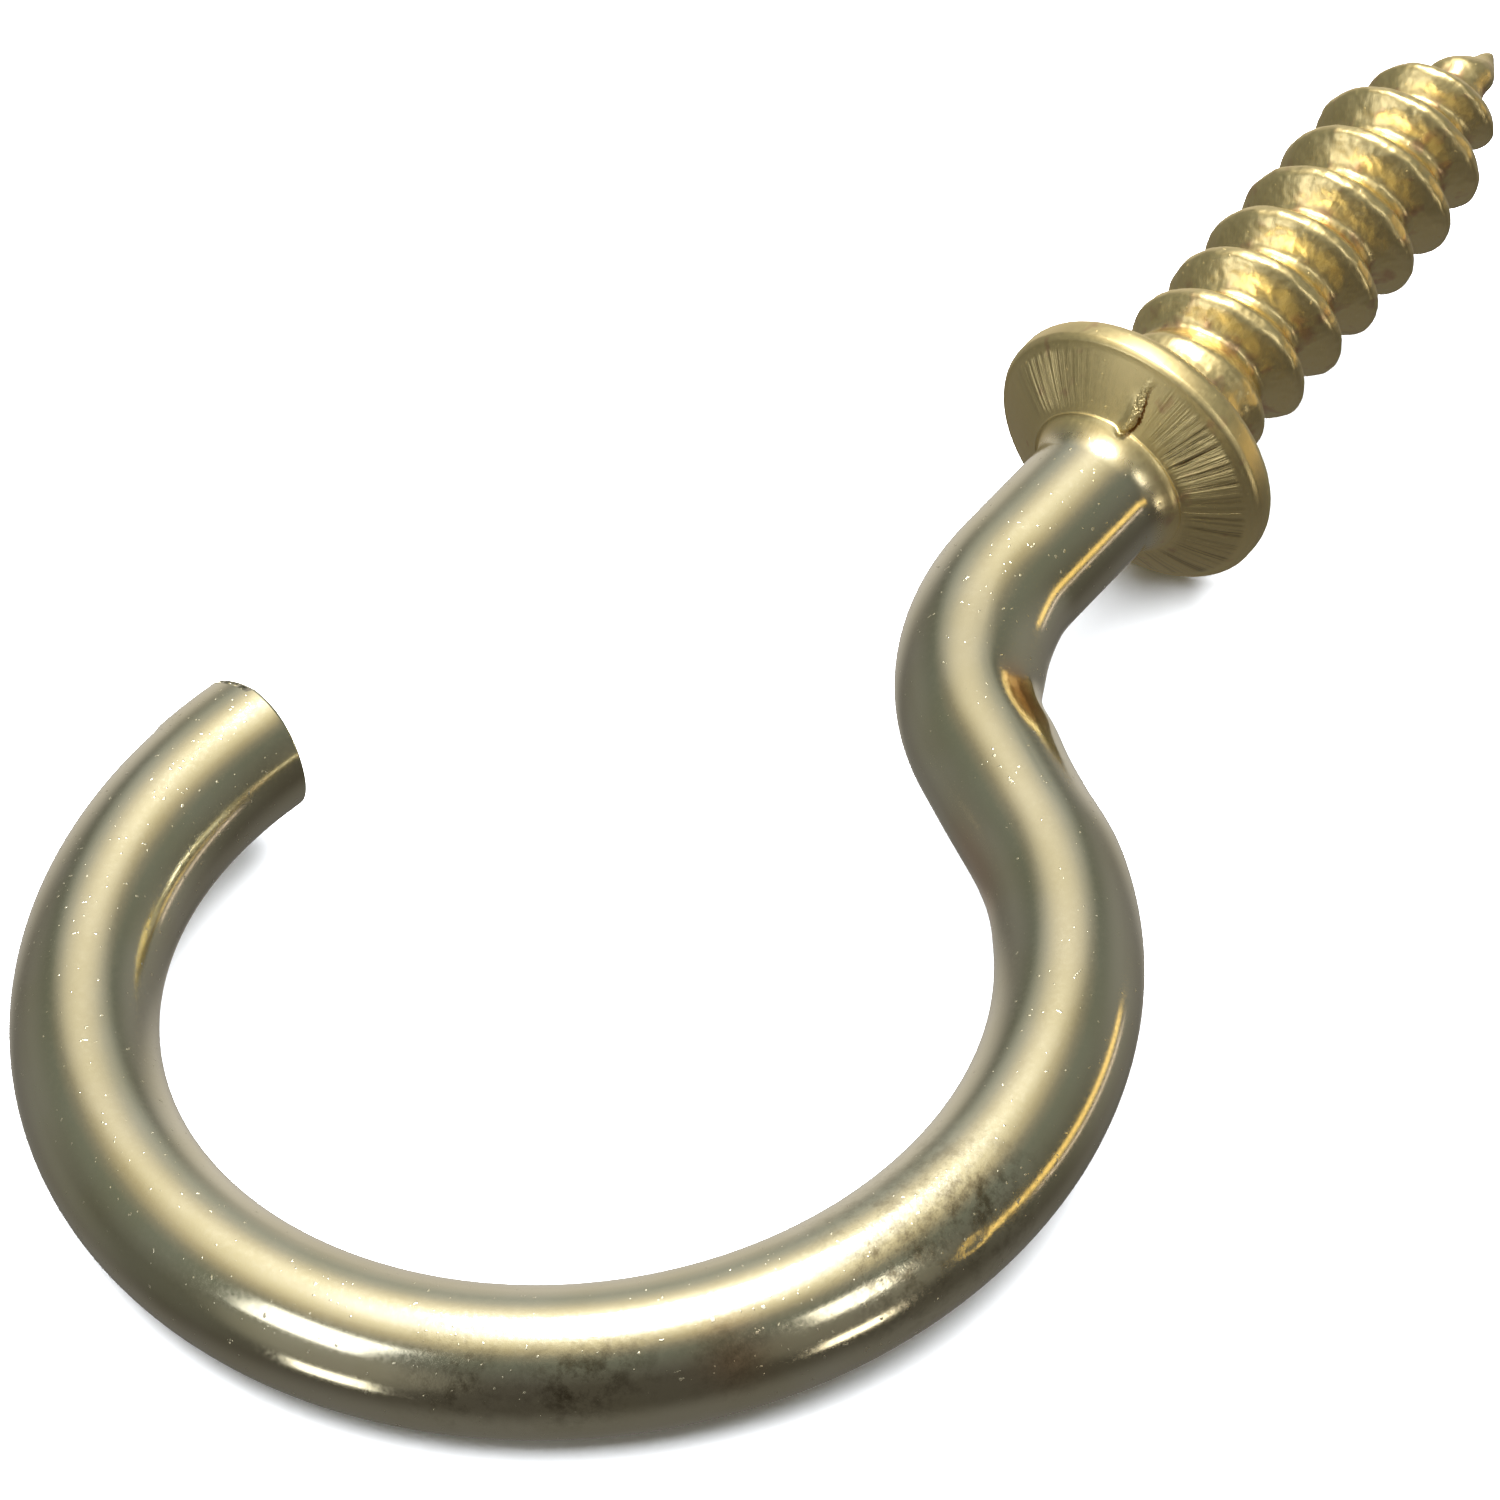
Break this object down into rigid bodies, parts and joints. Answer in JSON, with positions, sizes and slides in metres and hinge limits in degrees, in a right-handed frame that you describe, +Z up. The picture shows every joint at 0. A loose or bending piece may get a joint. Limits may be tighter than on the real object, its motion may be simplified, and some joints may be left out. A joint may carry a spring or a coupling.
{
  "type": "cup hook",
  "caption": "One-piece screw-in cup hook: a round wire bowl on a bent shank, a coned collar with a flat seat, and a coarse wood-screw thread with a sharp point.",
  "frame": {"origin": "middle of the collar's flat seat, on the screw's own axis", "axes": "+X runs out of the seat along the screw to its point, tilted up by the small angle at which the hook lies, +Z is up, and the bowl lies towards -X with its mouth towards +Y"},
  "size_m": [0.0467, 0.0242, 0.0068],
  "materials": {
    "brass_plate": "thin pale yellow brass plating over drawn wire: satin on the hook, with small bright specks, a few stains and press marks, and a deeper gold on the collar's coned face and the rolled thread"
  },
  "bodies": {
    "root": {"cup_hook": "brass_plate"}
  },
  "joints": []
}
